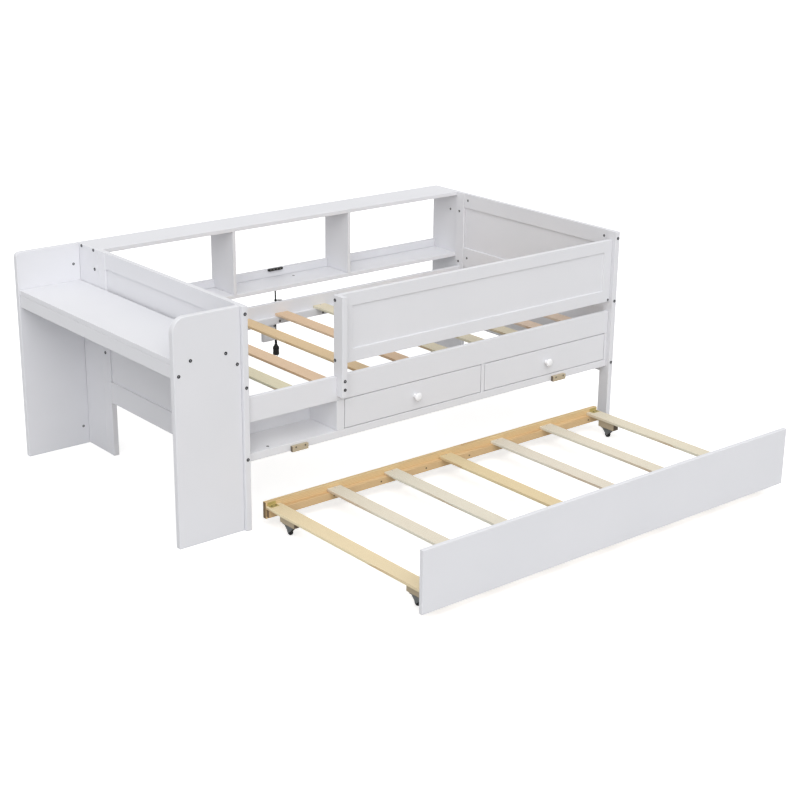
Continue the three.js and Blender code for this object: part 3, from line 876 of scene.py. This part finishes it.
# Where the cam nuts and board screws go: y and z on an end, x and z on a side, or the whole place.
nuts = {
    "headInside": [(975, 859), (973, 575), (73, 861), (75, 575)],
    "footInside": [(73, 860), (73, 575), (973, 575)],
    "headOutside": [(975, 859), (973, 575), (73, 861), (73, 575)],
    "headPost": [(1962, 1034, z, foot) for z in (798, 549)],
    "shelfInside": [(1107, 795), (1081, 485)],
    "deskInside": [(-31, 805), (-27, 82)],
    "cleat": [(868, 446), (1110, 444)],
    "rearRail": (852, 421),
    "boards": [(135, 47, 303, up), (1072, 1176, 587, up), (1953, 20, 581, front)],
}


def camNuts():
    footBoard, headBoard = inMm("footboard"), inMm("headboard")
    far, headEnd, rail = inMm("desk_panel_far"), inMm("shelf_end_head"), inMm("rear_rail")
    places = [(headBoard[0].x, y, z, foot) for y, z in nuts["headInside"]]
    places += [(footBoard[0].x, y, z, foot) for y, z in nuts["footInside"]]
    places += [(headBoard[1].x, y, z, head) for y, z in nuts["headOutside"]]
    places += nuts["headPost"]
    places += [(headEnd[0].x, y, z, foot) for y, z in nuts["shelfInside"]]
    places += [(x, far[0].y, z, front) for x, z in nuts["deskInside"]]
    cleatFace = inMm("slat_deck")[1].y - bedDeck["cleat"]
    sides = [(cleatFace, nuts["cleat"][0]), (rail[0].y, nuts["rearRail"]), (cleatFace, nuts["cleat"][1])]
    places += [(x, y, z, front) for y, (x, z) in sides]
    return places + nuts["boards"]


# Screws, in mm in from the ends of what they hold.
screws = {"slatEnd": 10, "blockTop": 6, "blockAlong": (17, 61),
          "cleatFirst": 160, "cleatPitch": 237, "cleatCount": 8, "cleatHeight": 57}


def bedScrews():
    low, high = inMm("slat_deck")
    ends = (low.y + screws["slatEnd"], high.y - screws["slatEnd"])
    return [(x + bedDeck["wide"] / 2, y, high.z, up) for x in bedDeck["lefts"] for y in ends]


def blockScrews():
    blocks = inMm("stop_block_1"), inMm("stop_block_2")
    return [(low.x + dx, low.y, high.z - screws["blockTop"], front)
            for low, high in blocks for dx in screws["blockAlong"]]


def slatScrews():
    places = []
    for slat in trundleSlats:
        low, high = inMm(slat)
        ends = (low.y + screws["slatEnd"], high.y - screws["slatEnd"])
        places += [((low.x + high.x) / 2, y, high.z, up) for y in ends]
    return places


def cleatScrews():
    rear, frontCleat = inMm("trundle_cleat_rear"), inMm("trundle_cleat_front")
    steps = [screws["cleatFirst"] + screws["cleatPitch"] * k for k in range(screws["cleatCount"])]
    z = screws["cleatHeight"]
    return [(x, rear[0].y, z, front) for x in steps] + [(x, frontCleat[1].y, z, back) for x in steps]


# Frame bolts: a wide black head with a small bright zinc disc down in its socket; the wide black ring is
# painted shade, the dark counterbore round the bolt
driveIn("frame_bolts", "socketBolt", blackBolt, "bed", "caster_steel", frameBolts())
driveIn("frame_bolt_sockets", "socketFloor", brightZinc, "bed", "caster_steel", frameBolts())
driveIn("cam_nuts", "camNut", blackBolt, "bed", "caster_steel", camNuts())
driveIn("bed_slat_screws", "sheetScrew", brightZinc, "bed", "caster_steel", bedScrews())
driveIn("trundle_slat_screws", "sheetScrew", brightZinc, "trundle", "caster_steel", slatScrews())
driveIn("trundle_cleat_screws", "woodScrew", blackBolt, "trundle", "caster_steel", cleatScrews())
driveIn("stop_block_screws", "woodScrew", blackBolt, "bed", "caster_steel", blockScrews())
print("screws and bolts driven")


# Trundle corner brackets, folded from strip: one leg on the end slat, the other up the rail.
bracket = {"long": 38, "leg": 26, "upright": 13.5, "thick": 1.8, "inset": 8, "fold": 1,
           "screwAt": 0.6, "screwAlong": (0.25, 0.75)}


def bendBracket(name, x0):
    slat, rail = inMm(trundleSlats[0]), inMm("trundle_rail_rear")
    y, z = rail[0].y - 0.1, slat[1].z + 0.05  # just clear of the wood
    t, fold = bracket["thick"], bracket["fold"]
    outline = [
        (y, z), (y, z + bracket["upright"]), (y - t, z + bracket["upright"]), (y - t, z + t + fold),
        (y - t - fold, z + t), (y - bracket["leg"], z + t), (y - bracket["leg"], z),
    ]
    bm = bmesh.new()
    extrudeOutline(bm, [(x0, a, b) for a, b in outline], (bracket["long"], 0, 0))
    piece = newPiece(name, meshFrom(name, bm))
    easeEdges(piece, 0.5 * mm, 2)
    finishPiece(piece, yellowZinc, "trundle", "caster_steel")
    middle = y - bracket["leg"] * bracket["screwAt"]
    return [(x0 + bracket["long"] * share, middle, z + t, up) for share in bracket["screwAlong"]]


rail = inMm("trundle_rail_rear")
bracketScrews = bendBracket("corner_bracket_foot", rail[0].x + bracket["inset"])
bracketScrews += bendBracket("corner_bracket_head", rail[1].x - bracket["inset"] - bracket["long"])
driveIn("bracket_screws", "woodScrew", blackBolt, "trundle", "caster_steel", bracketScrews)
print("brackets bent")


# Charging strip on the shelf lip: a moulded case with open ports and a contact tongue in each.
strip = {
    "ports": 4, "pitch": 17.5, "portWide": 12.4, "portHigh": 5.2, "deep": 7,
    "tongue": 1.6, "tongueIn": 1.5, "tongueSide": 1.2, "tongueUp": 0.2,
}


def mouldStrip():
    low, high = inMm("outlet")
    shell = copyOf("outlet", "charging_strip")
    middle, z = (low.x + high.x) / 2, (low.z + high.z) / 2
    centres = [middle + (k - (strip["ports"] - 1) / 2) * strip["pitch"] for k in range(strip["ports"])]
    half, tall, y = strip["portWide"] / 2, strip["portHigh"] / 2, low.y + strip["deep"]
    cut = bmesh.new()
    for x in centres:
        slab(cut, Vector((x - half, low.y - 2, z - tall)) * mm, Vector((x + half, y, z + tall)) * mm)
    cutter = newPiece("port_cutter", meshFrom("port_cutter", cut))
    hollow = shell.modifiers.new("ports", "BOOLEAN")
    hollow.operation, hollow.object, hollow.solver = "DIFFERENCE", cutter, "EXACT"
    applyModifiers(shell)
    bpy.data.objects.remove(cutter)
    easeEdges(shell, 0.6 * mm, 2)
    finishPiece(shell, absBlack, "bed", "outlet_plastic", "outlet")
    bm = bmesh.new()
    half -= strip["tongueSide"]
    under = z + strip["tongueUp"]
    for x in centres:
        slab(bm, Vector((x - half, low.y + strip["tongueIn"], under)) * mm,
             Vector((x + half, y, under + strip["tongue"])) * mm)
    tongues = newPiece("charging_tongues", meshFrom("charging_tongues", bm))
    easeEdges(tongues, 0.25 * mm, 2)
    finishPiece(tongues, nickel, "bed", "outlet_plastic")


mouldStrip()
print("charging strip moulded")


# Fixed casters: the plate and its two tapering cheeks are one pressing, the axle is riveted in.
wheelProfile = [
    (2.8, -5), (4.6, -5), (5.2, -4.1), (9.4, -4.1), (10.2, -5), (12.6, -5), (13.6, -4.2), (14, -3),
    (14, 3), (13.6, 4.2), (12.6, 5), (10.2, 5), (9.4, 4.1), (5.2, 4.1), (4.6, 5), (2.8, 5), (2.8, -5),
]


def roundedPlate(x, y, z, wide, long, radius, steps=6):
    points = []
    for quarter in range(4):
        sx, sy = (1, -1, -1, 1)[quarter], (1, 1, -1, -1)[quarter]
        for k in range(steps + 1):
            a = math.pi / 2 * (quarter + k / steps)
            points.append((x + sx * (wide / 2 - radius) + radius * math.cos(a),
                           y + sy * (long / 2 - radius) + radius * math.sin(a), z))
    return points


def cheekOutline(x, y, top, steps=10):
    # a short step in under the plate, then down to the round foot that holds the axle
    half, radius = caster["cheek"] / 2, caster["foot"]
    points = [(x, y + half, top), (x, y - half, top), (x, y - half + 2, top - 4)]
    for k in range(steps + 1):
        a = math.pi * (1.12 + 0.76 * k / steps)  # most of the half turn under the axle
        points.append((x, y + radius * math.cos(a), caster["wheel"] + radius * math.sin(a)))
    return points + [(x, y + half - 2, top - 4)]


def pressFork(corner):
    low, high = inMm("caster_fork_" + corner)
    x, y, top = (low.x + high.x) / 2, (low.y + high.y) / 2, high.z
    wide, long = caster["plate"]
    sheet, inside, pin = caster["sheet"], caster["inside"], caster["axle"]
    bm = bmesh.new()
    extrudeOutline(bm, roundedPlate(x, y, top - sheet, wide, long, caster["corner"]), (0, 0, sheet))
    for side in (-1, 1):
        extrudeOutline(bm, cheekOutline(x + side * inside, y, top - sheet + 0.4), (side * sheet, 0, 0))
    end = inside + sheet
    rivet = [(0, -end - 1), (pin * 0.9, -end - 0.9), (pin * 1.3, -end - 0.4), (pin * 1.3, -end + 0.1),
             (pin, -end + 0.1)]
    rivet += [(r, -h) for r, h in reversed(rivet)]
    lathe(bm, inMetres(rivet), Vector((x, y, caster["wheel"])) * mm, (1, 0, 0), 24)
    fork = newPiece("caster_" + corner, meshFrom("caster_" + corner, bm))
    easeEdges(fork, 0.35 * mm, 2)
    finishPiece(fork, pressedSteel, "trundle", "caster_steel", "caster_fork_" + corner)
    dx, dy = wide / 2 - caster["screws"][0], long / 2 - caster["screws"][1]
    return [(x + a * dx, y + b * dy, top - sheet, down) for a in (-1, 1) for b in (-1, 1)]


def mouldWheel(corner):
    node = "caster_wheel_" + corner
    low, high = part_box(node)
    bm = bmesh.new()
    lathe(bm, inMetres(wheelProfile), (low + high) / 2, (1, 0, 0), 56)
    wheel = newPiece(node + "_moulded", meshFrom(node + "_moulded", bm))
    easeEdges(wheel, 0.2 * mm, 2)
    finishPiece(wheel, nylon, "wheel_" + corner, "wheel_nylon", node)


def fitCasters():
    plateScrews = []
    for corner in corners:
        plateScrews += pressFork(corner)
        mouldWheel(corner)
    driveIn("caster_screws", "sheetScrew", brightZinc, "trundle", "caster_steel", plateScrews)


fitCasters()
print("casters fitted")


# Studio: one large soft light above and in front, on the foot side, under a sky brightest overhead.
# The paper gives back only part of the light, as it would with black flags round the set.
studio = {
    "zenith": 1.05,
    "horizon": 0.38,
    "key": 1.5,
    "keyFrom": (-0.45, -0.70, 0.55),
    "keySoft": 60,                      # degrees
    "paper": ("#EDEDED", "#F3F3F3"),
    "flagged": 0.5,                     # share of its light that the paper gives back to the object
    "washed": 0.50,                     # light from the paper itself towards the lens
    "floor": 70,                        # m, half its side
}


def seenDirectly(tree):
    return addNode(tree, "ShaderNodeLightPath").outputs["Is Camera Ray"]


def paintFloor():
    material, tree = emptyMaterial("seamless paper, matt")
    place = addNode(tree, "ShaderNodeTexCoord").outputs["Object"]
    fibre = addNode(tree, "ShaderNodeTexNoise", values={"Scale": 3.0, "Detail": 4.0}, links={"Vector": place})
    dull, bright = (linear(code) for code in studio["paper"])
    colour = addNode(tree, "ShaderNodeMix", {"data_type": "RGBA"}, {6: dull, 7: bright},
                     {0: fibre.outputs["Fac"]})
    dim = studio["flagged"]
    grey = addNode(tree, "ShaderNodeMix", {"data_type": "RGBA"}, {6: (dim, dim, dim, 1)},
                   {0: seenDirectly(tree), 7: colour.outputs[2]})
    wash = addNode(tree, "ShaderNodeMath", {"operation": "MULTIPLY"}, {1: studio["washed"]},
                   {0: seenDirectly(tree)})
    finishShader(tree, {"Roughness": 0.9, "Emission Color": (1, 1, 1, 1)},
                 {"Base Color": grey.outputs[2], "Emission Strength": wash.outputs[0]})
    return material


def layFloor():
    bm = bmesh.new()
    bmesh.ops.create_grid(bm, x_segments=8, y_segments=8, size=studio["floor"])
    floor = newPiece("floor", meshFrom("floor", bm))
    floor.data.materials.append(paintFloor())


def lightStudio():
    world = bpy.data.worlds.new("studio")
    bpy.context.scene.world = world
    world.use_nodes = True
    tree = world.node_tree
    sky = tree.nodes["Background"]
    sky.inputs["Color"].default_value = (1, 1, 1, 1)
    direction = addNode(tree, "ShaderNodeTexCoord").outputs["Generated"]
    height = addNode(tree, "ShaderNodeSeparateXYZ", links={0: direction})
    bright = addNode(tree, "ShaderNodeMapRange",
                     values={1: 0.0, 2: 1.0, 3: studio["horizon"], 4: studio["zenith"]},
                     links={0: height.outputs["Z"]})
    shown = addNode(tree, "ShaderNodeMix", values={3: 1.0}, links={0: seenDirectly(tree), 2: bright.outputs[0]})
    tree.links.new(shown.outputs[0], sky.inputs["Strength"])
    data = bpy.data.lights.new("key", "SUN")
    data.energy, data.angle = studio["key"], math.radians(studio["keySoft"])
    key = bpy.data.objects.new("key", data)
    key.rotation_mode = "QUATERNION"
    key.rotation_quaternion = Vector(studio["keyFrom"]).to_track_quat("Z", "Y")
    bpy.context.scene.collection.objects.link(key)
    bpy.context.scene.view_settings.view_transform = "Standard"


layFloor()
lightStudio()
print("studio lit")
